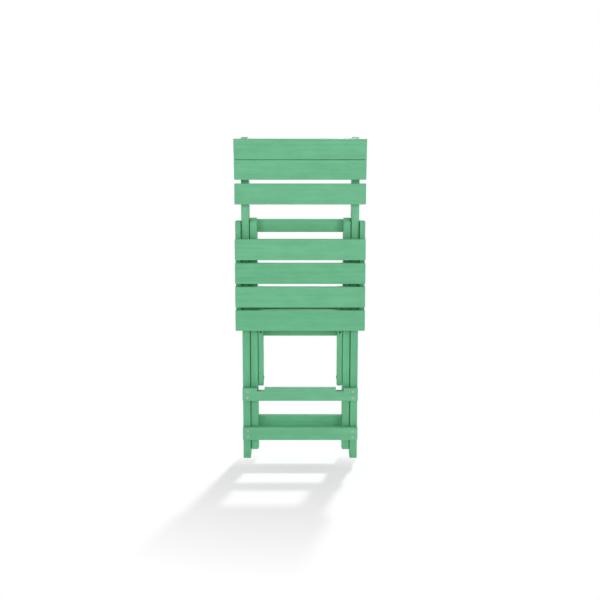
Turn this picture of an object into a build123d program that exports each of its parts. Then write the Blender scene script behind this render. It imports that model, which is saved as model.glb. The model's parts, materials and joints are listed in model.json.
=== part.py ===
from build123d import *
import math
import os

# Folding bar-height chair of slatted plastic lumber, modelled folded and standing on its front feet.
# The chair faces -Y, +Z is up, +X is the sitter's left. Profiles are drawn in the Y-Z plane.

# Widths across the chair (X)
SLAT_LENGTH = 428.0
SLAT_OVERHANG = 0.3         # of a seat slat past the outer face of its rail
STILE_THICK = 25.2
LEG_THICK = 24.5
BRACE_THICK = 16.5
SEAT_RAIL_THICK = 18.0
PIVOT_GAP = 1.6             # beside the seat rails and the brace bars, filled by washers
LEG_GAP = 1.8               # between a stile and its rear leg

# Stiles: one board a side, front leg below and back post above
STILE_DEPTH = 60.0
STILE_STRAIGHT = 925.0      # height where the back post starts to curve forward
STILE_BEND = 9.0
STILE_BEND_RADIUS = 200.0   # at the middle of the board
STILE_TOP_RUN = 124.5       # straight length above the bend
FOOT_FLAT_SHARE = 0.5       # share of the foot that stays flat for standing folded

# Boards across the frame
SLAT_THICK = 22.0
BACK_SLAT_WIDTH = 68.0      # the lowest back slat
UPPER_SLAT_WIDTH = 64.5     # the pair above it
BACK_SLAT_LOW = 865.0       # lower edge of the lowest back slat
BACK_SLAT_GAP = 14.5
BACK_SLAT_SEAM = 1.2
FRONT_RAIL_THICK = 22.0
FRONT_RAIL_WIDTH = 44.5
UPPER_RAIL_LOW = 207.3
LOWER_RAIL_LOW = 70.5
NOTCH_DEPTH = 11.0
NOTCH_SIDE_ROOM = 4.5

# Rear legs
LEG_DEPTH = 51.0
LEG_TOP = 824.0
LEG_BOTTOM = 25.5
LEG_TOP_CHAMFER = 18.0
LEG_SWING = 29.5
LEG_RAIL_THICK = 22.0
LEG_RAIL_WIDTH = 43.0
LEG_TOP_RAIL_DROP = 52.0    # lower edge of the top rail, below the top of the legs
LEG_LOW_RAIL_LOW = 98.0

# Seat
SEAT_SLATS = 4
SEAT_SLAT_WIDTH = 69.0
SEAT_SLAT_GAP = 9.3
SEAT_DROP = 71.0            # rear edge of the first seat slat, folded, below the top of the rear legs
SEAT_RAIL_NECK = 30.0       # depth of the rail's front end
SEAT_RAIL_TAPER = 150.0
SEAT_RAIL_MARGIN = 22.0     # pivot to the end and the back edge of the rail
REST_GAP = 0.5              # between the rear legs and the seat they carry

# Brace that hooks over the upper front rail when the chair is open
BRACE_DEPTH = 46.0
BRACE_REACH = 311.0         # pivot to the hooked end
BRACE_TAIL = 27.0           # pivot to the rounded end
BRACE_TAIL_RADIUS = 14.0
HOOK_GAP = 0.8
PLANK_THICK = 22.0
PLANK_WIDTH = 104.0
PLANK_LOW = 420.5
BUMPER_DIAMETER = 18.0
BUMPER_HEIGHT = 9.0
BUMPER_Z = 439.0

# Pivots, as (Y, Z)
LEG_PIVOT_DROP = 97.0       # below the top of the rear legs
SEAT_PIVOT_DROP = 35.0
LEG_PIVOT = (-4.0, LEG_TOP - LEG_PIVOT_DROP)
SEAT_PIVOT = (-9.0, LEG_TOP - SEAT_PIVOT_DROP)
BRACE_PIVOT = (0.0, 277.5)

# Hardware
BOLT_RADIUS = 4.0
BOLT_FIT = 0.05
BOLT_HEAD_RADIUS = 9.0
BOLT_HEAD_HEIGHT = 4.0
HEAD_POCKET = 5.0
NUT_RADIUS = 6.5
NUT_HEIGHT = 6.5
NUT_POCKET = 7.5            # hides the nut in a stile
NUT_SINK = 5.0              # lets the nut of a leg or brace bar stand a little proud
WASHER_RADIUS = 11.0
WASHER_PLAY = 0.1
POCKET_ROOM = 0.4
SCREW_RADIUS = 2.4
SCREW_FIT = 0.05
SCREW_HEAD_RADIUS = 4.2
SCREW_HEAD_HEIGHT = 2.6
SCREW_LENGTH = 40.0
SCREW_BITE = 13.0           # into a slat held from behind
SCREW_TIP_ROOM = 0.5
FACE_SCREW_SINK = 0.4       # head below the face of a front rail
FRONT_SCREW_INSET = 17.0    # from the end of a front rail
FRONT_SCREW_DROP = 2.0      # of the screws below the middle of a front rail
SCREW_PITCH = 21.0          # between the two screws of a rail end
EDGE_RADIUS = 3.0
BRACE_EDGE = 1.5
END_EASE = 1.0              # on the cut ends of the boards across the chair
BUMPER_SCREW_LENGTH = 24.0

# Places worked out from the sizes above
rail_out = SLAT_LENGTH / 2 - SLAT_OVERHANG
rail_in = rail_out - SEAT_RAIL_THICK
rail_mid = (rail_in + rail_out) / 2
stile_out = rail_in - PIVOT_GAP
stile_in = stile_out - STILE_THICK
stile_mid = (stile_out + stile_in) / 2
leg_out = stile_in - LEG_GAP
leg_in = leg_out - LEG_THICK
brace_out = leg_in - PIVOT_GAP
brace_in = brace_out - BRACE_THICK
brace_mid = (brace_out + brace_in) / 2
stile_front = -STILE_DEPTH / 2
rail_front = stile_front - FRONT_RAIL_THICK
upper_rail_top = UPPER_RAIL_LOW + FRONT_RAIL_WIDTH
notch_floor = upper_rail_top - NOTCH_DEPTH
leg_half = LEG_DEPTH / 2
leg_top_rail_low = LEG_TOP - LEG_TOP_RAIL_DROP
seat_slat_top = LEG_TOP - SEAT_DROP
brace_half = BRACE_DEPTH / 2


def turned(point, centre, degrees):
    """A (Y, Z) point turned about a pivot; positive angles bring the top forward."""
    angle = math.radians(degrees)
    y = point[0] - centre[0]
    z = point[1] - centre[1]
    return (centre[0] + y * math.cos(angle) - z * math.sin(angle),
            centre[1] + y * math.sin(angle) + z * math.cos(angle))


def stance():
    """Lean of the stiles when both pairs of feet stand on the floor, from the leg swing."""
    swing = math.radians(LEG_SWING)
    y, z = LEG_PIVOT
    drop = z - LEG_BOTTOM
    rise = z - drop * math.cos(swing) - y * math.sin(swing)
    run = drop * math.sin(swing) - y * math.cos(swing) + y
    return math.degrees(math.atan2(rise, run))


stile_lean = stance()
leg_lean = LEG_SWING - stile_lean
seat_swing = 90 - stile_lean

# The seat stands off its pivot so that it lies on the rear legs when the chair is open.
leg_top_slope = math.tan(math.radians(leg_lean))
leg_corner = (-leg_half + LEG_TOP_CHAMFER, LEG_TOP - LEG_TOP_CHAMFER * leg_top_slope)
open_corner = turned(leg_corner, LEG_PIVOT, LEG_SWING)
seat_normal = (-math.cos(math.radians(seat_swing)), math.sin(math.radians(seat_swing)))
seat_stand = REST_GAP + sum((open_corner[i] - SEAT_PIVOT[i]) * seat_normal[i] for i in range(2))
seat_under = SEAT_PIVOT[0] - seat_stand
seat_front_end = seat_slat_top - SEAT_SLATS * SEAT_SLAT_WIDTH - (SEAT_SLATS - 1) * SEAT_SLAT_GAP

# The brace turns until its lower edge lies on the notch floor of the upper front rail.
open_brace_pivot = turned(BRACE_PIVOT, LEG_PIVOT, LEG_SWING)
notch_back = (stile_front - open_brace_pivot[0], notch_floor + HOOK_GAP - open_brace_pivot[1])
notch_dip = math.degrees(math.atan2(-notch_back[1], -notch_back[0]))
brace_dip = notch_dip - math.degrees(math.asin(brace_half / math.hypot(*notch_back)))
brace_swing = 90 + brace_dip - LEG_SWING


def board(outline, inner, outer, side=1, edge=EDGE_RADIUS):
    """Plate cut to a Y-Z face, between two distances from the middle of the chair, with eased edges."""
    low, high = sorted((side * inner, side * outer))
    plate = extrude(Plane.YZ.offset(low) * outline, high - low)
    return fillet(plate.edges(), edge)


def crosspiece(outline, half_length):
    """Board across the chair, cut to a Y-Z face, with round long edges and eased ends."""
    blank = extrude(Plane.YZ.offset(-half_length) * outline, 2 * half_length)
    blank = fillet(blank.edges().filter_by(Axis.X), EDGE_RADIUS)
    return chamfer(blank.faces().filter_by(Axis.X).edges(), END_EASE)


def polygon(*points):
    return make_face(Polyline(*points, close=True))


def rectangle(y_low, y_high, z_low, z_high):
    return polygon((y_low, z_low), (y_high, z_low), (y_high, z_high), (y_low, z_high))


def rod(start, along, radius, length):
    """Cylinder from a point along a direction."""
    plane = Plane(origin=start, z_dir=along)
    return plane * Cylinder(radius, length, align=(Align.CENTER, Align.CENTER, Align.MIN))


def step(point, along, distance):
    return tuple(p + a * distance for p, a in zip(point, along))


def screw(joint, along, grip, bite):
    """Screw through a joint face, with its head a grip behind that face."""
    head = step(joint, along, -grip - SCREW_HEAD_HEIGHT)
    neck = step(joint, along, -grip)
    shank = rod(neck, along, SCREW_RADIUS, grip + bite)
    return rod(head, along, SCREW_HEAD_RADIUS, SCREW_HEAD_HEIGHT) + shank


def screw_hole(joint, along, grip, bite, pocket):
    """Clearance for one screw and the pocket that its head goes down."""
    mouth = step(joint, along, -grip - SCREW_HEAD_HEIGHT - pocket)
    neck = step(joint, along, -grip)
    head_hole = rod(mouth, along, SCREW_HEAD_RADIUS + SCREW_FIT, SCREW_HEAD_HEIGHT + pocket)
    return head_hole + rod(neck, along, SCREW_RADIUS + SCREW_FIT, grip + bite + SCREW_TIP_ROOM)


def stile_outline():
    """Side view of a stile: foot cut for both stances, straight leg and a back post that curves forward."""
    half = STILE_DEPTH / 2
    flat_end = -half + STILE_DEPTH * FOOT_FLAT_SHARE
    heel = (half - flat_end) * math.tan(math.radians(stile_lean))
    bend = math.radians(STILE_BEND)
    centre = (-STILE_BEND_RADIUS, STILE_STRAIGHT)
    top = (-math.sin(bend) * STILE_TOP_RUN, math.cos(bend) * STILE_TOP_RUN)
    back_arc = CenterArc(centre, STILE_BEND_RADIUS + half, 0, STILE_BEND)
    front_arc = CenterArc(centre, STILE_BEND_RADIUS - half, 0, STILE_BEND)
    back_top = (back_arc @ 1) + Vector(*top)
    front_top = (front_arc @ 1) + Vector(*top)
    sides = Polyline(front_arc @ 0, (-half, 0), (flat_end, 0), (half, heel), back_arc @ 0)
    head = Polyline(back_arc @ 1, back_top, front_top, front_arc @ 1)
    return make_face(sides.edges() + [back_arc.edge()] + head.edges() + [front_arc.edge()])


def post_front(z):
    """Y of the front edge of the back post at a height."""
    radius = STILE_BEND_RADIUS - STILE_DEPTH / 2
    bend = math.radians(STILE_BEND)
    rise = z - STILE_STRAIGHT
    if rise <= 0:
        return stile_front
    if rise < radius * math.sin(bend):
        return -STILE_BEND_RADIUS + math.sqrt(radius ** 2 - rise ** 2)
    bend_end = -STILE_BEND_RADIUS + radius * math.cos(bend)
    return bend_end - (rise - radius * math.sin(bend)) * math.tan(bend)


def back_slat_places():
    """Width, lower rear edge and forward tilt of each back slat, from the lowest up."""
    places = []
    low = BACK_SLAT_LOW
    widths = (BACK_SLAT_WIDTH, UPPER_SLAT_WIDTH, UPPER_SLAT_WIDTH)
    for width, gap in zip(widths, (BACK_SLAT_GAP, BACK_SLAT_SEAM, 0.0)):
        tilt = 0.0
        for _ in range(4):
            high = low + width * math.cos(tilt)
            tilt = math.atan2(post_front(low) - post_front(high), high - low)
        places.append((width, (post_front(low), low), math.degrees(tilt)))
        low = high + gap
    return places


def slat(width):
    """Slat lying against the X-Z plane, lower rear edge on the X axis."""
    return crosspiece(rectangle(-SLAT_THICK, 0, 0, width), SLAT_LENGTH / 2)


parts = {}
sides = {"left": -1, "right": 1}

# Stiles and back slats
stile_face = stile_outline()
stiles = {name: board(stile_face, stile_in, stile_out, side) for name, side in sides.items()}
back_screws = []
slat_grip = SCREW_LENGTH - SCREW_BITE
for name, (width, (y, z), tilt) in zip(("lower", "middle", "top"), back_slat_places()):
    piece = Pos(0, y, z) * Rot(X=tilt) * slat(width)
    angle = math.radians(tilt)
    along = (0, -math.cos(angle), -math.sin(angle))
    half = width / 2
    for side_name, side in sides.items():
        joint = (side * stile_mid, y - math.sin(angle) * half, z + math.cos(angle) * half)
        hole = screw_hole(joint, along, slat_grip, SCREW_BITE, STILE_DEPTH)
        stiles[side_name] -= hole
        piece -= hole
        back_screws.append(screw(joint, along, slat_grip, SCREW_BITE))
    parts[f"back_slat_{name}"] = piece

# Front rails, with the brace notches in the upper one
front_screws = []
face_grip = FRONT_RAIL_THICK - SCREW_HEAD_HEIGHT - FACE_SCREW_SINK
for name, low in (("upper", UPPER_RAIL_LOW), ("lower", LOWER_RAIL_LOW)):
    outline = rectangle(rail_front, stile_front, low, low + FRONT_RAIL_WIDTH)
    rail = crosspiece(outline, stile_out)
    for side_name, side in sides.items():
        for lift in (-SCREW_PITCH / 2, SCREW_PITCH / 2):
            height = low + FRONT_RAIL_WIDTH / 2 - FRONT_SCREW_DROP + lift
            joint = (side * (stile_out - FRONT_SCREW_INSET), stile_front, height)
            bite = SCREW_LENGTH - face_grip
            hole = screw_hole(joint, (0, 1, 0), face_grip, bite, SCREW_LENGTH)
            stiles[side_name] -= hole
            rail -= hole
            front_screws.append(screw(joint, (0, 1, 0), face_grip, bite))
        if name == "upper":
            notch = Box(BRACE_THICK + 2 * NOTCH_SIDE_ROOM, 2 * FRONT_RAIL_THICK, 2 * NOTCH_DEPTH)
            rail -= Pos(side * brace_mid, (rail_front + stile_front) / 2, upper_rail_top) * notch
    parts[f"{name}_front_rail"] = rail

# Rear legs and the rails between them
leg_heel = LEG_DEPTH / 2 * leg_top_slope
leg_face = polygon((-leg_half, LEG_BOTTOM + leg_heel), (leg_half, LEG_BOTTOM - leg_heel),
                   (leg_half, LEG_TOP - LEG_DEPTH * leg_top_slope), leg_corner,
                   (-leg_half, LEG_TOP - LEG_TOP_CHAMFER))
legs = {name: board(leg_face, leg_in, leg_out, side) for name, side in sides.items()}
leg_screws = []
leg_rail_mid = leg_half - LEG_RAIL_THICK / 2
leg_grip = LEG_THICK - SCREW_HEAD_HEIGHT - FACE_SCREW_SINK
for name, low in (("top", leg_top_rail_low), ("lower", LEG_LOW_RAIL_LOW)):
    outline = rectangle(leg_half - LEG_RAIL_THICK, leg_half, low, low + LEG_RAIL_WIDTH)
    rail = crosspiece(outline, leg_in)
    for side_name, side in sides.items():
        for lift in (-SCREW_PITCH / 2, SCREW_PITCH / 2):
            joint = (side * leg_in, leg_rail_mid, low + LEG_RAIL_WIDTH / 2 + lift)
            along = (-side, 0, 0)
            bite = SCREW_LENGTH - leg_grip
            hole = screw_hole(joint, along, leg_grip, bite, LEG_THICK)
            legs[side_name] -= hole
            rail -= hole
            leg_screws.append(screw(joint, along, leg_grip, bite))
    parts[f"rear_leg_{name}_rail"] = rail

# Seat: two rails hung on the stiles and the slats on their front edges
seat_end = SEAT_PIVOT[1] + SEAT_RAIL_MARGIN
rail_back = SEAT_PIVOT[0] + SEAT_RAIL_MARGIN
seat_rail_face = polygon((seat_under, seat_front_end), (seat_under + SEAT_RAIL_NECK, seat_front_end),
                         (rail_back, seat_front_end + SEAT_RAIL_TAPER), (rail_back, seat_end),
                         (seat_under, seat_end))
end_corners = seat_rail_face.vertices().sort_by(Axis.Y)[-2:]
seat_rail_face = fillet(end_corners, WASHER_RADIUS)
seat_rails = {name: board(seat_rail_face, rail_in, rail_out, side) for name, side in sides.items()}
seat_screws = []
for number in range(SEAT_SLATS):
    low = seat_slat_top - (number + 1) * SEAT_SLAT_WIDTH - number * SEAT_SLAT_GAP
    piece = Pos(0, seat_under, low) * slat(SEAT_SLAT_WIDTH)
    for side_name, side in sides.items():
        joint = (side * rail_mid, seat_under, low + SEAT_SLAT_WIDTH / 2)
        grip = SEAT_RAIL_NECK - 2 * SCREW_HEAD_HEIGHT
        hole = screw_hole(joint, (0, -1, 0), grip, SCREW_BITE, STILE_DEPTH)
        seat_rails[side_name] -= hole
        piece -= hole
        seat_screws.append(screw(joint, (0, -1, 0), grip, SCREW_BITE))
    parts[f"seat_slat_{number + 1}"] = piece

# Brace: two hooked bars, the plank between them and a bumper on each
hook_corner = (rail_front - HOOK_GAP, notch_floor + HOOK_GAP)
hook_cut = [(hook_corner[0], hook_corner[1] - BRACE_DEPTH), (stile_front, hook_corner[1] - BRACE_DEPTH),
            (stile_front, hook_corner[1]), hook_corner]
hook_cut = [turned(turned(p, LEG_PIVOT, -LEG_SWING), BRACE_PIVOT, -brace_swing) for p in hook_cut]
brace_end = BRACE_PIVOT[1] + BRACE_REACH
brace_shape = rectangle(-brace_half, brace_half, BRACE_PIVOT[1] - BRACE_TAIL, brace_end)
brace_shape = fillet(brace_shape.vertices().sort_by(Axis.Y)[:2], BRACE_TAIL_RADIUS)
brace_shape -= polygon(*hook_cut)
brace_face = brace_shape.face()
braces = {name: board(brace_face, brace_in, brace_out, side, BRACE_EDGE) for name, side in sides.items()}
plank_outline = rectangle(brace_half - PLANK_THICK, brace_half, PLANK_LOW, PLANK_LOW + PLANK_WIDTH)
plank = crosspiece(plank_outline, brace_in)
plank_screws = []
bumpers = []
bumper_screws = []
brace_grip = BRACE_THICK - SCREW_HEAD_HEIGHT - FACE_SCREW_SINK
bumper_grip = BUMPER_HEIGHT - SCREW_HEAD_HEIGHT - FACE_SCREW_SINK
for side_name, side in sides.items():
    for share in (0.2, 0.8):
        joint = (side * brace_in, brace_half - PLANK_THICK / 2, PLANK_LOW + share * PLANK_WIDTH)
        along = (-side, 0, 0)
        bite = SCREW_LENGTH - brace_grip
        hole = screw_hole(joint, along, brace_grip, bite, BRACE_THICK)
        braces[side_name] -= hole
        plank -= hole
        plank_screws.append(screw(joint, along, brace_grip, bite))
    joint = (side * brace_mid, -brace_half, BUMPER_Z)
    bite = BUMPER_SCREW_LENGTH - bumper_grip
    hole = screw_hole(joint, (0, 1, 0), bumper_grip, bite, BUMPER_HEIGHT)
    pad = rod(step(joint, (0, -1, 0), BUMPER_HEIGHT), (0, 1, 0), BUMPER_DIAMETER / 2, BUMPER_HEIGHT)
    pad = fillet(pad.edges().sort_by(Axis.Y)[0], EDGE_RADIUS)
    braces[side_name] -= hole
    bumpers.append(pad - hole)
    bumper_screws.append(screw(joint, (0, 1, 0), bumper_grip, bite))
parts["brace_plank"] = plank


def pivot(place, side, head_face, nut_face):
    """Bolt and nut of one pivot, between the face under the bolt's head and the face under its nut."""
    along = (-side, 0, 0)
    start = (side * head_face, *place)
    length = head_face - nut_face
    head = rod(start, (side, 0, 0), BOLT_HEAD_RADIUS, BOLT_HEAD_HEIGHT)
    bolt = head + rod(start, along, BOLT_RADIUS, length + NUT_HEIGHT)
    nut_plane = Plane(origin=(side * nut_face, *place), z_dir=along)
    nut = extrude(nut_plane * RegularPolygon(NUT_RADIUS, 6), NUT_HEIGHT)
    nut -= rod(start, along, BOLT_RADIUS + BOLT_FIT, length + 2 * NUT_HEIGHT)
    return bolt, nut


def pivot_hole(place, side):
    return rod((side * rail_out * 2, *place), (-side, 0, 0), BOLT_RADIUS + BOLT_FIT, rail_out * 2)


def pocket(place, side, face, floor, radius):
    """Round pocket from a board's face to its floor, both as distances from the middle of the chair."""
    outward = math.copysign(1, face - floor)
    mouth = (side * (face + outward * EDGE_RADIUS), *place)
    return rod(mouth, (-side * outward, 0, 0), radius, abs(face - floor) + EDGE_RADIUS)


def washer(place, side, inner_face, gap):
    start = (side * (inner_face + WASHER_PLAY), *place)
    thick = gap - 2 * WASHER_PLAY
    ring = rod(start, (side, 0, 0), WASHER_RADIUS, thick)
    return ring - rod(start, (side, 0, 0), BOLT_RADIUS + BOLT_FIT, thick)


# Pivots: seat rails on the stiles, rear legs on the stiles, brace bars on the rear legs
head_room = BOLT_HEAD_RADIUS + POCKET_ROOM
nut_room = NUT_RADIUS + POCKET_ROOM
pivot_items = ("bolts", "nuts", "washers")
hardware = {f"{pair}_pivot_{item}": [] for pair in ("seat", "leg", "brace") for item in pivot_items}
for name, side in sides.items():
    bolt, nut = pivot(SEAT_PIVOT, side, rail_out - HEAD_POCKET + WASHER_PLAY, stile_in + NUT_POCKET)
    seat_rails[name] -= pivot_hole(SEAT_PIVOT, side)
    seat_rails[name] -= pocket(SEAT_PIVOT, side, rail_out, rail_out - HEAD_POCKET, head_room)
    stiles[name] -= pivot_hole(SEAT_PIVOT, side)
    stiles[name] -= pocket(SEAT_PIVOT, side, stile_in, stile_in + NUT_POCKET, nut_room)
    hardware["seat_pivot_bolts"].append(bolt)
    hardware["seat_pivot_nuts"].append(nut)
    hardware["seat_pivot_washers"].append(washer(SEAT_PIVOT, side, stile_out, PIVOT_GAP))
    bolt, nut = pivot(LEG_PIVOT, side, stile_out - HEAD_POCKET, leg_in + NUT_SINK - WASHER_PLAY)
    stiles[name] -= pivot_hole(LEG_PIVOT, side)
    stiles[name] -= pocket(LEG_PIVOT, side, stile_out, stile_out - HEAD_POCKET, head_room)
    legs[name] -= pivot_hole(LEG_PIVOT, side)
    legs[name] -= pocket(LEG_PIVOT, side, leg_in, leg_in + NUT_SINK, nut_room)
    hardware["leg_pivot_bolts"].append(bolt)
    hardware["leg_pivot_nuts"].append(nut)
    hardware["leg_pivot_washers"].append(washer(LEG_PIVOT, side, leg_out, LEG_GAP))
    bolt, nut = pivot(BRACE_PIVOT, side, leg_out - HEAD_POCKET, brace_in + NUT_SINK - WASHER_PLAY)
    legs[name] -= pivot_hole(BRACE_PIVOT, side)
    legs[name] -= pocket(BRACE_PIVOT, side, leg_out, leg_out - HEAD_POCKET, head_room)
    braces[name] -= pivot_hole(BRACE_PIVOT, side)
    braces[name] -= pocket(BRACE_PIVOT, side, brace_in, brace_in + NUT_SINK, nut_room)
    hardware["brace_pivot_bolts"].append(bolt)
    hardware["brace_pivot_nuts"].append(nut)
    hardware["brace_pivot_washers"].append(washer(BRACE_PIVOT, side, brace_out, PIVOT_GAP))

for name in sides:
    parts[f"{name}_stile"] = stiles[name]
    parts[f"{name}_rear_leg"] = legs[name]
    parts[f"{name}_seat_rail"] = seat_rails[name]
    parts[f"{name}_brace_bar"] = braces[name]
hardware["back_slat_screws"] = back_screws
hardware["front_rail_screws"] = front_screws
hardware["rear_leg_screws"] = leg_screws
hardware["seat_slat_screws"] = seat_screws
hardware["brace_plank_screws"] = plank_screws
hardware["brace_bumpers"] = bumpers
hardware["bumper_screws"] = bumper_screws
parts.update({name: Compound(pieces) for name, pieces in hardware.items()})

# The origin goes on the floor under the middle of the folded chair.
boxes = [part.bounding_box() for part in parts.values()]
shift = -(min(box.min.Y for box in boxes) + max(box.max.Y for box in boxes)) / 2
os.makedirs("parts", exist_ok=True)
for name, part in parts.items():
    export_step(Pos(0, shift, 0) * part, f"parts/{name}.step")

print(f"shift {shift:.4f}  lean {stile_lean:.4f}  seat underside {seat_under:.3f}")
for name, place, swing in (("leg", LEG_PIVOT, LEG_SWING), ("seat", SEAT_PIVOT, seat_swing),
                           ("brace", BRACE_PIVOT, brace_swing)):
    print(f"{name} pivot y {place[0] + shift:.4f} z {place[1]:.4f} swing {swing:.4f}")
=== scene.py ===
import json
import math

import bmesh
import bpy
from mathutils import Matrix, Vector

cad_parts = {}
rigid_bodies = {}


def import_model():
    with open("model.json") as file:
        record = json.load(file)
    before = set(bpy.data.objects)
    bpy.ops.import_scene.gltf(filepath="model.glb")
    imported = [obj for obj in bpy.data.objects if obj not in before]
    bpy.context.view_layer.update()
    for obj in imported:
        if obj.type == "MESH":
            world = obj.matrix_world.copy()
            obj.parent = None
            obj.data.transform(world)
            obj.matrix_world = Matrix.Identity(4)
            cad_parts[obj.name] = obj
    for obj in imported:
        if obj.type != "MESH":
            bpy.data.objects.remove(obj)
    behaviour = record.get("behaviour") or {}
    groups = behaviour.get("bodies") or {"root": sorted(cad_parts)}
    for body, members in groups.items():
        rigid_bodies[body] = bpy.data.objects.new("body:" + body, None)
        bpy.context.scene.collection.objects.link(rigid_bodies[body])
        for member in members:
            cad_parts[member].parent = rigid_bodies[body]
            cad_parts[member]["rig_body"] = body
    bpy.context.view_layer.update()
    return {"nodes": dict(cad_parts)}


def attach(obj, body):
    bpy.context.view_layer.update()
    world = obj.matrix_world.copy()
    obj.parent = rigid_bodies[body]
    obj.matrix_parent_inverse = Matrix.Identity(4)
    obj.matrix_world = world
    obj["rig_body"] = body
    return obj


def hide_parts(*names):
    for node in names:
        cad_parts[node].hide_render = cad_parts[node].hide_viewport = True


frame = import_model()

# Folding bar chair of slatted plastic lumber: a finish for every board, detailed fasteners, floor, light
# and camera. Lengths are in metres.
MM = 0.001
WHITE = (1.0, 1.0, 1.0, 1.0)

# Camera: the photograph's own viewpoint, a 50 mm lens on a 36 mm frame
LENS = 50.4
SENSOR = 36.0
CAMERA_PLACE = (-0.0007, -2.7773, 0.9592)
CAMERA_PITCH = 8.446

# Light: soft white room light, two soft lamps in front, a soft lamp behind for all but the floor, and a sun
# from behind, to the right, for the floor alone, where it casts the chair's shadow
ROOM_LIGHT = 0.33
ROOM_WHITE = 1.0                    # what the eye sees of the room
SUN_LIGHT = 3.0
SUN_SPREAD = 4.0
SUN_TRAVEL = (-0.30, -1.12, -1.0)
LEFT_LIGHT = 0.71
RIGHT_LIGHT = 0.89
BACK_LIGHT = 1.1
BACK_TRAVEL = (-0.25, -0.90, -0.34)
LAMP_SPREAD = 26.0
LEFT_TRAVEL = (0.64, 0.77, -0.27)
RIGHT_TRAVEL = (-0.64, 0.77, -0.27)

# Floor: pale, going over to the white of the room
FLOOR_REACH = 9.0
FLOOR_SEGMENTS = 64
FLOOR_TONE = 0.92
FLOOR_WHITE = 1.0
FLOOR_VEIL = (0.474, 0.33, 0.30)    # white veil over the floor at the chair, and its growth with distance
FLOOR_BEHIND = 6.0                  # how much faster it grows behind the chair
FLOOR_START = 0.10                  # how far in front of the chair's middle that begins

# Lumber colour of the two batches of boards, and a paler green painted on the upper part of the posts as
# painted light
GREEN_LIGHT = (0.141, 0.466, 0.252)
GREEN_FULL = (0.125, 0.447, 0.234)
GREEN_PAINTED_LIGHT = (0.158, 0.488, 0.272)
PAINTED_LIGHT_SPAN = (0.74, 0.83)          # heights between which an upright board goes over to it

# How far its streaks and pits stray from that colour, and how much paler the painted highlight makes an edge
STREAK_DARK = 0.90
STREAK_PALE = 1.10
PIT_DARK = 0.70
EDGE_SHEEN_PALE = 1.20

# Lumber texture: each noise as scale, detail and roughness, and how much of its scale is left along the grain
GRAIN_X = 0
GRAIN_Z = 2
BROAD_GRAIN = (120.0, 3.0, 0.55)
FINE_GRAIN = (850.0, 2.0, 0.6)
CLOUDS = (42.0, 3.0, 0.6)
PITS = (620.0, 2.0, 0.5)
SAW_MARKS = (700.0, 2.0, 0.6)
PEBBLE = (1500.0, 1.0, 0.5)
GRAIN_STRETCH = 0.03
CLOUD_STRETCH = 0.45
SAW_STRETCH = 0.05                  # the same across the board, for the saw marks
SEED_SPREAD = 37.0                  # sets the boards' noises apart
STREAK_BAND = (0.34, 0.66)          # values between which a noise goes from nothing to full
PIT_BAND = (0.66, 0.76)
CUT_END_TURN = (0.80, 0.95)         # how squarely a face looks along the grain before it counts as a cut end
EDGE_TURN = (0.04, 0.24)            # how far a face turns from square before it counts as an edge
LUMBER_RELIEF = (0.35, 0.22 * MM)   # strength and depth of the bump
LUMBER_SPECULAR = 0.4

# Lumber weights: how far each texture shows in the colour, the roughness and the height of the bump
EDGE_SHEEN_AND_POLISH_SHARE = (0.45, 0.75)           # of an edge's painted highlight and its polish: at least, and more with the clouds
SAWN_SHARE = (0.35, 0.5)            # of a cut end: at least, and more with the saw marks
PIT_SHARE = 0.5
STREAK_OF = {"broad": 0.40, "fine": 0.22, "cloud": 0.38}
ROUGH_OF = {"plain": 0.40, "fine": 0.16, "cloud": 0.08, "cut_end": 0.14, "pit": 0.12, "edge_sheen_and_polish": 0.10}
HEIGHT_OF = {"fine": 0.7, "broad": 0.5, "saw": 0.8, "pebble": 0.25, "pit": 0.6}
EDGE_SMOOTHING = 0.6                # how much of the grain's height an edge has lost

# Fastener metal and washers
SCREW_TONE = (0.57, 0.50, 0.50)
BOLT_TONE = (0.105, 0.112, 0.115)
WASHER_TONE = (0.045, 0.120, 0.075)
SCRATCHES = (2600.0, 3.0, 0.65)
SCRATCH_RUN = (1.0, 0.2, 1.0)
SCRATCH_DEPTH = 0.05 * MM
DULL_PATCHES = (260.0, 3.0, 0.55)
DULL_BAND = (0.42, 0.72)
DULL_DARK = 0.72
DULL_SHARE = 0.8
SCREW_ROUGH = 0.26
BOLT_ROUGH = 0.34
DULL_ROUGH = 0.16                   # added by dull patches, and by scratches
SCRATCH_ROUGH = 0.14
SCREW_RELIEF = 0.25
BOLT_RELIEF = 0.35
SCRATCH_SEED = 3.0
DULL_SEED = 8.0
WASHER_PEBBLE = (1800.0, 2.0, 0.5)
WASHER_CLOUDS = (120.0, 2.0, 0.5)
WASHER_PALE = 1.3
WASHER_RELIEF = (0.3, 0.1 * MM)
WASHER_ROUGH = (0.5, 0.15)          # at least, and more with the clouds
WASHER_PEBBLE_SEED = 5.0
WASHER_CLOUD_SEED = 2.0

# Fastener meshes
SEGMENTS = 48
WELD = 0.01 * MM                    # points closer than this are one
END_SLICE = 0.3 * MM                # points this near the end of a rod belong to its end face
AXIS_ROUNDS = 40
SHARP_ANGLE = 40.0


class Value:
    """One output socket of a finish; arithmetic on it adds Math nodes."""

    def __init__(self, finish, socket):
        self.finish = finish
        self.socket = socket

    def math(self, operation, first, second=0.0):
        return self.finish.node("ShaderNodeMath", {"operation": operation}, {0: first, 1: second})

    def __add__(self, other):
        return self.math("ADD", self, other)

    def __sub__(self, other):
        return self.math("SUBTRACT", self, other)

    def __mul__(self, other):
        return self.math("MULTIPLY", self, other)

    def __radd__(self, other):
        return self.math("ADD", other, self)

    def __rsub__(self, other):
        return self.math("SUBTRACT", other, self)

    def __rmul__(self, other):
        return self.math("MULTIPLY", other, self)

    def __abs__(self):
        return self.math("ABSOLUTE", self)

    def larger(self, other):
        return self.math("MAXIMUM", self, other)


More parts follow.
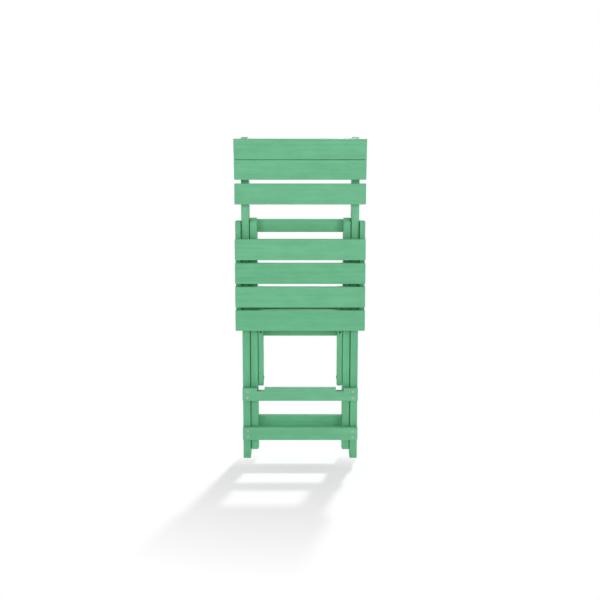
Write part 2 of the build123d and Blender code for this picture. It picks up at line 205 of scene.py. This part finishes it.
class Finish:
    """A node tree under construction, for a material or the world."""

    def __init__(self, owner):
        owner.use_nodes = True
        self.owner = owner
        self.tree = owner.node_tree
        self.tree.nodes.clear()

    def node(self, kind, settings, sockets, output=0):
        """Any node: its settings first, then the values or links of its sockets; gives one output."""
        made = self.tree.nodes.new(kind)
        for name, setting in settings.items():
            setattr(made, name, setting)
        for name, value in sockets.items():
            if isinstance(value, Value):
                self.tree.links.new(value.socket, made.inputs[name])
            else:
                made.inputs[name].default_value = value
        return Value(self, made.outputs[output]) if made.outputs else None

    def band(self, value, low, high):
        """Smooth 0 to 1 as a value goes from low to high."""
        settings = {"interpolation_type": "SMOOTHSTEP"}
        return self.node("ShaderNodeMapRange", settings, {"Value": value, "From Min": low, "From Max": high})

    def tint(self, share, first, second):
        """Colour between two colours."""
        ends = [c if isinstance(c, Value) else (*c, 1.0) for c in (first, second)]
        return self.node("ShaderNodeMix", {"data_type": "RGBA"}, {0: share, 6: ends[0], 7: ends[1]}, 2)

    def stretched(self, vector, scales):
        return self.node("ShaderNodeVectorMath", {"operation": "MULTIPLY"}, {0: vector, 1: scales})

    def noise(self, vector, seed, scale, detail, rough):
        return self.node("ShaderNodeTexNoise", {"noise_dimensions": "4D"},
                         {"Vector": vector, "W": seed, "Scale": scale, "Detail": detail, "Roughness": rough})

    def bump(self, height, strength, depth):
        return self.node("ShaderNodeBump", {}, {"Height": height, "Strength": strength, "Distance": depth})

    def shown(self):
        """1 for what the eye sees straight, mirrored or through glass, 0 for what only gives light."""
        rays = [self.node("ShaderNodeLightPath", {}, {}, f"Is {kind} Ray")
                for kind in ("Camera", "Glossy", "Transmission")]
        return self.band(rays[0] + rays[1] + rays[2], 0.0, 1.0)

    def surface(self, shader):
        self.node("ShaderNodeOutputMaterial", {}, {"Surface": shader})
        return self.owner


def scaled(colour, share):
    return tuple(share * part for part in colour)


def lumber(name, grain, green, painted_light=0.0):
    """Coloured plastic lumber: brushed grain along one axis, pits, saw marks on the cut ends, smoother edges
    with a painted highlight and, on a post, a paler upper part as painted light."""
    finish = Finish(bpy.data.materials.new(name))
    place = finish.node("ShaderNodeTexCoord", {}, {}, "Object")
    facing = finish.node("ShaderNodeTexCoord", {}, {}, "Normal")
    turns = [abs(finish.node("ShaderNodeSeparateXYZ", {}, {0: facing}, axis)) for axis in range(3)]
    flat = turns[0].larger(turns[1]).larger(turns[2])
    own = finish.node("ShaderNodeObjectInfo", {}, {}, "Random") * SEED_SPREAD
    cut_end = finish.band(turns[grain], *CUT_END_TURN)
    edge = finish.band(1 - flat, *EDGE_TURN)

    brushed = [1.0, 1.0, 1.0]
    brushed[grain] = GRAIN_STRETCH
    clouded = [1.0, 1.0, 1.0]
    clouded[grain] = CLOUD_STRETCH
    sawn = [SAW_STRETCH, 1.0, 1.0] if grain == GRAIN_Z else [1.0, SAW_STRETCH, 1.0]
    grain_run = finish.stretched(place, brushed)
    cloud_run = finish.stretched(place, clouded)
    broad = finish.noise(grain_run, own, *BROAD_GRAIN)
    fine = finish.noise(grain_run, own, *FINE_GRAIN)
    cloud = finish.noise(cloud_run, own, *CLOUDS)
    pit = finish.band(finish.noise(cloud_run, own, *PITS), *PIT_BAND)
    saw = finish.noise(finish.stretched(place, sawn), own, *SAW_MARKS)
    pebble = finish.noise(place, own, *PEBBLE)
    # Painted highlight along the edges, which are also smoother and less rough
    edge_sheen_and_polish = edge * (EDGE_SHEEN_AND_POLISH_SHARE[0] + EDGE_SHEEN_AND_POLISH_SHARE[1] * cloud)

    grain_mix = STREAK_OF["broad"] * broad + STREAK_OF["fine"] * fine + STREAK_OF["cloud"] * cloud
    streak = finish.band(grain_mix, *STREAK_BAND)
    height_up = finish.node("ShaderNodeSeparateXYZ", {}, {0: place}, "Z")
    # Painted light: the upper part of a post goes over to a paler green
    painted_light_share = painted_light * finish.band(height_up, *PAINTED_LIGHT_SPAN)
    dark = finish.tint(painted_light_share, scaled(green, STREAK_DARK), scaled(GREEN_PAINTED_LIGHT, STREAK_DARK))
    pale = finish.tint(painted_light_share, scaled(green, STREAK_PALE), scaled(GREEN_PAINTED_LIGHT, STREAK_PALE))
    face = finish.tint(streak, dark, pale)
    sawn_share = cut_end * (SAWN_SHARE[0] + SAWN_SHARE[1] * saw)
    sawn_face = finish.tint(sawn_share, face, scaled(green, STREAK_PALE))
    pitted = finish.tint(pit * PIT_SHARE, sawn_face, scaled(green, PIT_DARK))
    # Painted highlight: the edges paler
    colour = finish.tint(edge_sheen_and_polish, pitted, scaled(green, EDGE_SHEEN_PALE))
    rough = (ROUGH_OF["plain"] + ROUGH_OF["fine"] * fine + ROUGH_OF["cloud"] * cloud
             + ROUGH_OF["cut_end"] * cut_end + ROUGH_OF["pit"] * pit - ROUGH_OF["edge_sheen_and_polish"] * edge_sheen_and_polish)
    long_grain = HEIGHT_OF["fine"] * fine + HEIGHT_OF["broad"] * broad
    grain_height = (1 - cut_end) * long_grain + cut_end * HEIGHT_OF["saw"] * saw
    height = (grain_height * (1 - EDGE_SMOOTHING * edge)
              + HEIGHT_OF["pebble"] * pebble - HEIGHT_OF["pit"] * pit)
    return finish.surface(finish.node("ShaderNodeBsdfPrincipled", {}, {
        "Base Color": colour, "Roughness": rough, "Normal": finish.bump(height, *LUMBER_RELIEF),
        "Specular IOR Level": LUMBER_SPECULAR}))


def steel(name, tone, plain_rough, relief):
    """Fastener metal: fine scratches and dull patches."""
    finish = Finish(bpy.data.materials.new(name))
    place = finish.node("ShaderNodeTexCoord", {}, {}, "Object")
    scratch = finish.noise(finish.stretched(place, SCRATCH_RUN), SCRATCH_SEED, *SCRATCHES)
    dull = finish.band(finish.noise(place, DULL_SEED, *DULL_PATCHES), *DULL_BAND)
    colour = finish.tint(dull * DULL_SHARE, tone, scaled(tone, DULL_DARK))
    rough = plain_rough + DULL_ROUGH * dull + SCRATCH_ROUGH * scratch
    return finish.surface(finish.node("ShaderNodeBsdfPrincipled", {}, {
        "Base Color": colour, "Roughness": rough, "Normal": finish.bump(scratch, relief, SCRATCH_DEPTH),
        "Metallic": 1.0}))


def moulded(name, tone):
    """Matte moulded plastic of the pivot washers."""
    finish = Finish(bpy.data.materials.new(name))
    place = finish.node("ShaderNodeTexCoord", {}, {}, "Object")
    pebble = finish.noise(place, WASHER_PEBBLE_SEED, *WASHER_PEBBLE)
    cloud = finish.noise(place, WASHER_CLOUD_SEED, *WASHER_CLOUDS)
    colour = finish.tint(cloud, tone, scaled(tone, WASHER_PALE))
    return finish.surface(finish.node("ShaderNodeBsdfPrincipled", {}, {
        "Base Color": colour, "Roughness": WASHER_ROUGH[0] + WASHER_ROUGH[1] * cloud,
        "Normal": finish.bump(pebble, *WASHER_RELIEF)}))


board_across = lumber("lumber_across_light", GRAIN_X, GREEN_LIGHT)
board_across_full = lumber("lumber_across_full", GRAIN_X, GREEN_FULL)
board_upright = lumber("lumber_upright_full", GRAIN_Z, GREEN_FULL)
board_post = lumber("lumber_post_painted_light", GRAIN_Z, GREEN_FULL, 1.0)
screw_steel = steel("screw_steel_brushed", SCREW_TONE, SCREW_ROUGH, SCREW_RELIEF)
bolt_steel = steel("bolt_steel_dark", BOLT_TONE, BOLT_ROUGH, BOLT_RELIEF)
washer_plastic = moulded("washer_plastic_matte", WASHER_TONE)

FULL_GREEN_BOARDS = ("seat_slat_2", "seat_slat_4", "rear_leg_lower_rail", "brace_plank")
ACROSS = ("slat", "rail", "plank")
for node_name, node in frame["nodes"].items():
    if node_name.endswith(("bolts", "nuts")):
        finish = bolt_steel
    elif node_name.endswith("screws"):
        finish = screw_steel
    elif node_name.endswith("washers"):
        finish = washer_plastic
    elif node_name in FULL_GREEN_BOARDS:
        finish = board_across_full
    elif any(word in node_name for word in ACROSS) and "seat_rail" not in node_name:
        finish = board_across
    elif node_name.endswith(("stile", "leg")):
        finish = board_post
    else:
        finish = board_upright
    node.data.materials.clear()
    node.data.materials.append(finish)


def islands(node_name):
    """Points of each separate solid of a node, in the order of its mesh."""
    mesh = bmesh.new()
    mesh.from_mesh(frame["nodes"][node_name].data)
    bmesh.ops.remove_doubles(mesh, verts=mesh.verts, dist=WELD)
    left = set(mesh.verts)
    found = []
    for start in mesh.verts:
        if start not in left:
            continue
        left.remove(start)
        island = [start]
        for vert in island:
            for edge in vert.link_edges:
                other = edge.other_vert(vert)
                if other in left:
                    left.remove(other)
                    island.append(other)
        found.append([v.co.copy() for v in island])
    mesh.free()
    return found


def rod_of(points):
    """Middle of the head end of a screw or bolt, direction to its tip, length and head radius.

    Its axis is the direction in which its points spread most, because it is longer than wide.
    """
    middle = sum(points, Vector()) / len(points)
    arms = [point - middle for point in points]
    axis = max(arms, key=lambda arm: arm.length).normalized()
    for _ in range(AXIS_ROUNDS):
        axis = sum((arm * arm.dot(axis) for arm in arms), Vector()).normalized()
    reach = [arm.dot(axis) for arm in arms]
    top = [p for p, r in zip(points, reach) if r > max(reach) - END_SLICE]
    foot = [p for p, r in zip(points, reach) if r < min(reach) + END_SLICE]
    top_middle = sum(top, Vector()) / len(top)
    foot_middle = sum(foot, Vector()) / len(foot)
    top_wide = max((p - top_middle).length for p in top)
    foot_wide = max((p - foot_middle).length for p in foot)
    head, tip = (top_middle, foot_middle) if top_wide > foot_wide else (foot_middle, top_middle)
    return head, (tip - head).normalized(), (tip - head).length, max(top_wide, foot_wide)


def nut_of(points):
    """The same for a nut, which lies across the chair with its free end inwards."""
    middle = sum(points, Vector()) / len(points)
    outward = Vector((math.copysign(1.0, middle.x), 0.0, 0.0))
    reach = [(p - middle).dot(outward) for p in points]
    wide = max((p - middle - outward * r).length for p, r in zip(points, reach))
    return middle + outward * min(reach), outward, max(reach) - min(reach), wide


def lathe(mesh, head, along, rings):
    """Closed skin through rings of (radius, depth below the head).

    A radius may be a function of the angle.
    """
    side = along.orthogonal().normalized()
    other = along.cross(side)
    loops = []
    for radius, depth in rings:
        reach = radius if callable(radius) else lambda angle, r=radius: r
        loop = []
        for step in range(SEGMENTS):
            angle = 2 * math.pi * step / SEGMENTS
            out = math.cos(angle) * side + math.sin(angle) * other
            loop.append(mesh.verts.new(head + along * depth + out * reach(angle)))
        loops.append(loop)
    for upper, lower in zip(loops, loops[1:]):
        for step in range(SEGMENTS):
            after = (step + 1) % SEGMENTS
            mesh.faces.new((upper[step], upper[after], lower[after], lower[step]))
    mesh.faces.new(loops[0])
    mesh.faces.new(reversed(loops[-1]))


def star(radius, lobe):
    """Six-lobed drive recess."""
    return lambda angle: radius * (1 + lobe * math.cos(6 * angle))


def hexagon(across, limit):
    """Six-sided outline, its corners cut back to a limit."""
    def reach(angle):
        turn = (angle + math.pi / 6) % (math.pi / 3) - math.pi / 6
        return min(across / 2 / math.cos(turn), limit)
    return reach


def screw_rings(length, wide):
    """Star-drive screw: recessed flat head with a soft rim, then shank and tapered tip."""
    head_deep = 2.6 * MM
    shank = 2.4 * MM
    socket = 0.44 * wide
    return [(star(socket * 0.86, 0.16), 1.7 * MM), (star(socket, 0.16), 0.25 * MM),
            (star(socket * 1.06, 0.15), 0.12 * MM), (0.66 * wide, 0.02 * MM), (0.86 * wide, 0.08 * MM),
            (0.96 * wide, 0.28 * MM), (wide, 0.7 * MM),
            (wide, head_deep), (shank, head_deep), (shank, length - 6 * MM), (0.3 * shank, length)]


def bolt_rings(length, wide):
    """Button-head bolt with a hexagon socket."""
    head_deep = 4.0 * MM
    shank = 4.0 * MM
    socket = 5.0 * MM
    return [(hexagon(socket * 0.97, socket), 2.2 * MM), (hexagon(socket, socket), 0.25 * MM),
            (hexagon(socket * 1.06, socket), 0.1 * MM), (0.44 * wide, 0.05 * MM), (0.62 * wide, 0.4 * MM),
            (0.80 * wide, 1.15 * MM), (0.93 * wide, 2.2 * MM), (wide, 3.3 * MM), (wide, head_deep),
            (shank, head_deep), (shank, length - 0.8 * MM), (0.85 * shank, length)]


def nut_rings(length, wide):
    """Lock nut: round collar with a rolled rim, then the hexagon with turned corners."""
    bore = 4.05 * MM
    collar = 0.84 * wide
    flats = 2 * wide * math.cos(math.pi / 6)
    return [(bore, 1.0 * MM), (bore, 0.3 * MM), (1.12 * bore, 0.0), (0.94 * collar, 0.0), (collar, 0.35 * MM),
            (collar, 1.5 * MM), (hexagon(flats, 0.93 * wide), 1.5 * MM), (hexagon(flats, wide), 2.1 * MM),
            (hexagon(flats, wide), length - 0.5 * MM), (hexagon(flats, 0.93 * wide), length)]


def fasteners(node_name, place_of, rings_of, finish):
    """Detailed fasteners in the places of a CAD node's plain ones."""
    mesh = bmesh.new()
    for points in islands(node_name):
        head, along, length, wide = place_of(points)
        lathe(mesh, head, along, rings_of(length, wide))
    bmesh.ops.recalc_face_normals(mesh, faces=mesh.faces)
    data = bpy.data.meshes.new(f"{node_name}_detailed")
    mesh.to_mesh(data)
    mesh.free()
    for polygon in data.polygons:
        polygon.use_smooth = True
    data.set_sharp_from_angle(angle=math.radians(SHARP_ANGLE))
    data.materials.append(finish)
    piece = bpy.data.objects.new(f"{node_name}_detailed", data)
    bpy.context.scene.collection.objects.link(piece)
    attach(piece, frame["nodes"][node_name]["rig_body"])
    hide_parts(node_name)


for screw_node in ("front_rail_screws", "back_slat_screws", "rear_leg_screws", "seat_slat_screws",
                   "brace_plank_screws"):
    fasteners(screw_node, rod_of, screw_rings, screw_steel)
# The bumper screws take the dark bolt metal as painted shade, for the shade they sit in under the seat
fasteners("bumper_screws", rod_of, screw_rings, bolt_steel)
for pivot_name in ("seat_pivot", "leg_pivot", "brace_pivot"):
    fasteners(f"{pivot_name}_bolts", rod_of, bolt_rings, bolt_steel)
    fasteners(f"{pivot_name}_nuts", nut_of, nut_rings, bolt_steel)


def floor():
    """Pale floor that takes the chair's shadow and goes over to the white of the room."""
    finish = Finish(bpy.data.materials.new("floor_pale"))
    place = finish.node("ShaderNodeTexCoord", {}, {}, "Object")
    away = finish.node("ShaderNodeVectorMath", {"operation": "LENGTH"}, {0: place}, "Value")
    behind = finish.node("ShaderNodeSeparateXYZ", {}, {0: place}, "Y")
    distance = away + FLOOR_BEHIND * (behind + FLOOR_START).larger(0.0)
    near, growth, rise = FLOOR_VEIL
    veil = (near + distance * (growth + rise * distance)) * finish.shown()
    matte = finish.node("ShaderNodeBsdfDiffuse", {}, {"Color": (FLOOR_TONE, FLOOR_TONE, FLOOR_TONE, 1.0)})
    plain = finish.node("ShaderNodeEmission", {}, {"Color": WHITE, "Strength": FLOOR_WHITE})
    skin = finish.surface(finish.node("ShaderNodeMixShader", {}, {0: veil, 1: matte, 2: plain}))
    mesh = bmesh.new()
    bmesh.ops.create_circle(mesh, cap_ends=True, segments=FLOOR_SEGMENTS, radius=FLOOR_REACH)
    data = bpy.data.meshes.new("floor")
    mesh.to_mesh(data)
    mesh.free()
    data.materials.append(skin)
    ground = bpy.data.objects.new("floor", data)
    bpy.context.scene.collection.objects.link(ground)
    return ground


def room():
    """White room: plain white to the eye and in reflections, soft light on the chair."""
    world = bpy.data.worlds.new("white_room")
    finish = Finish(world)
    light = finish.node("ShaderNodeBackground", {}, {"Color": WHITE, "Strength": ROOM_LIGHT})
    view = finish.node("ShaderNodeBackground", {}, {"Color": WHITE, "Strength": ROOM_WHITE})
    mixed = finish.node("ShaderNodeMixShader", {}, {0: finish.shown(), 1: light, 2: view})
    finish.node("ShaderNodeOutputWorld", {}, {"Surface": mixed})
    bpy.context.scene.world = world


def far_lamp(name, strength, spread, travel, ground=None, ground_state="INCLUDE"):
    """Distant lamp whose light travels along a direction.

    Given the floor, it lights that alone (INCLUDE) or all but that (EXCLUDE).
    """
    data = bpy.data.lights.new(name, "SUN")
    data.energy = strength
    data.angle = math.radians(spread)
    lamp = bpy.data.objects.new(name, data)
    lamp.rotation_euler = Vector(travel).to_track_quat("-Z", "Y").to_euler()
    bpy.context.scene.collection.objects.link(lamp)
    if ground:
        lit = bpy.data.collections.new(f"{name}_receivers")
        lit.objects.link(ground)
        lit.collection_objects[0].light_linking.link_state = ground_state
        lamp.light_linking.receiver_collection = lit


def camera():
    data = bpy.data.cameras.new("camera")
    data.sensor_width = SENSOR
    data.lens = LENS
    eye = bpy.data.objects.new("camera", data)
    eye.location = CAMERA_PLACE
    eye.rotation_euler = (math.radians(90 - CAMERA_PITCH), 0.0, 0.0)
    bpy.context.scene.collection.objects.link(eye)
    bpy.context.scene.camera = eye


ground = floor()
room()
far_lamp("sun", SUN_LIGHT, SUN_SPREAD, SUN_TRAVEL, ground, "INCLUDE")
far_lamp("back_lamp", BACK_LIGHT, LAMP_SPREAD, BACK_TRAVEL, ground, "EXCLUDE")
far_lamp("left_lamp", LEFT_LIGHT, LAMP_SPREAD, LEFT_TRAVEL)
far_lamp("right_lamp", RIGHT_LIGHT, LAMP_SPREAD, RIGHT_TRAVEL)
camera()
bpy.context.scene.view_settings.view_transform = "Standard"
